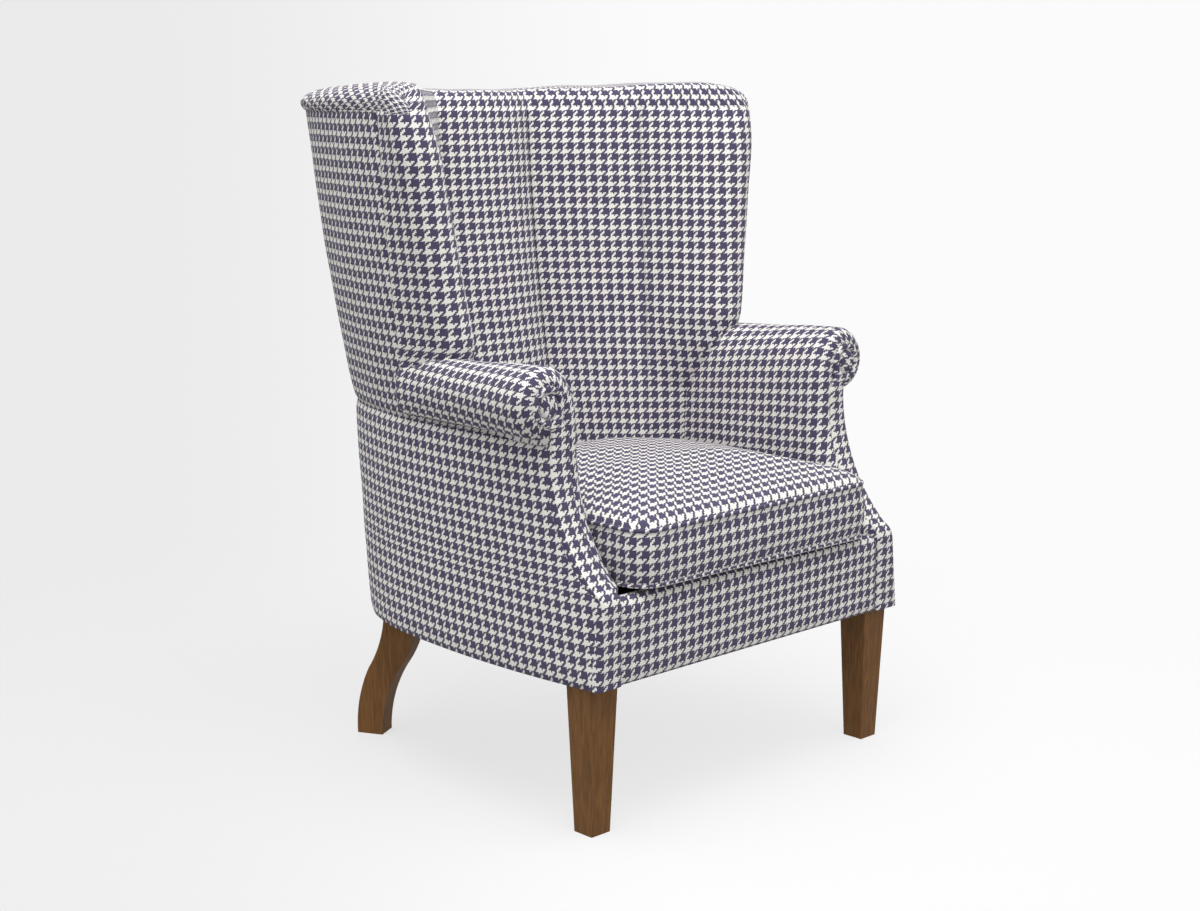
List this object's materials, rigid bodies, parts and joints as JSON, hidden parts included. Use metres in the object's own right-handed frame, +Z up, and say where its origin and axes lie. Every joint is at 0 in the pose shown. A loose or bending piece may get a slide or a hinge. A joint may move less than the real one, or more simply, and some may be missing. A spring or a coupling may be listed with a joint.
{
  "type": "wing armchair",
  "caption": "Upholstered wing armchair with rolled arms, panelled inside back, loose boxed seat cushion and tapered wooden legs, covered in houndstooth.",
  "frame": {"origin": "middle of the chair's box, on the floor", "axes": "+Z up, the sitter faces -Y, +X is the sitter's left"},
  "size_m": [0.7878, 0.829, 1.085],
  "materials": {
    "leg_wood": "satin stain, fine straight grain",
    "frame_wood": "sawn, unfinished",
    "houndstooth": "woven houndstooth, blue-violet and ivory, matt",
    "lining": "plain matt cloth",
    "foam": "open-cell foam",
    "steel": "plain steel"
  },
  "bodies": {
    "chair": {"front_leg_left": "leg_wood", "front_leg_right": "leg_wood", "rear_leg_left": "leg_wood", "rear_leg_right": "leg_wood", "side_seat_rail_left": "frame_wood", "side_seat_rail_right": "frame_wood", "corner_rail_left": "frame_wood", "corner_rail_right": "frame_wood", "arm_post_left": "frame_wood", "arm_post_right": "frame_wood", "arm_rail_left": "frame_wood", "arm_rail_right": "frame_wood", "wing_post_left": "frame_wood", "wing_post_right": "frame_wood", "wing_rail_left": "frame_wood", "wing_rail_right": "frame_wood", "back_post_left": "frame_wood", "back_post_right": "frame_wood", "front_seat_rail": "frame_wood", "rear_seat_rail": "frame_wood", "corner_blocks": "frame_wood", "back_lower_rail": "frame_wood", "back_top_rail": "frame_wood", "frame_dowels": "frame_wood", "outside_arm_left": "houndstooth", "outside_arm_right": "houndstooth", "outside_wing_left": "houndstooth", "outside_wing_right": "houndstooth", "arm_facing_left": "houndstooth", "arm_facing_right": "houndstooth", "wing_left": "houndstooth", "wing_right": "houndstooth", "arm_pad_left": "houndstooth", "arm_pad_right": "houndstooth", "inside_back_left": "houndstooth", "inside_back_right": "houndstooth", "outside_back": "houndstooth", "inside_back_centre": "houndstooth", "top_roll": "houndstooth", "front_border": "houndstooth", "seat_platform": "lining", "dust_cover": "lining", "back_webbing": "lining", "seat_springs": "steel", "spring_clips": "steel", "leg_bolts": "steel", "block_screws": "steel"},
    "cushion": {"cushion_core": "foam", "cushion_boxing": "houndstooth", "cushion_top": "houndstooth", "cushion_bottom": "houndstooth", "cushion_piping_top": "houndstooth", "cushion_piping_bottom": "houndstooth"}
  },
  "joints": [
    {"name": "cushion_lift", "type": "slide", "parent": "chair", "child": "cushion", "axis": [0, -0.7071, 0.7071], "range_m": [0, 0.6]}
  ]
}
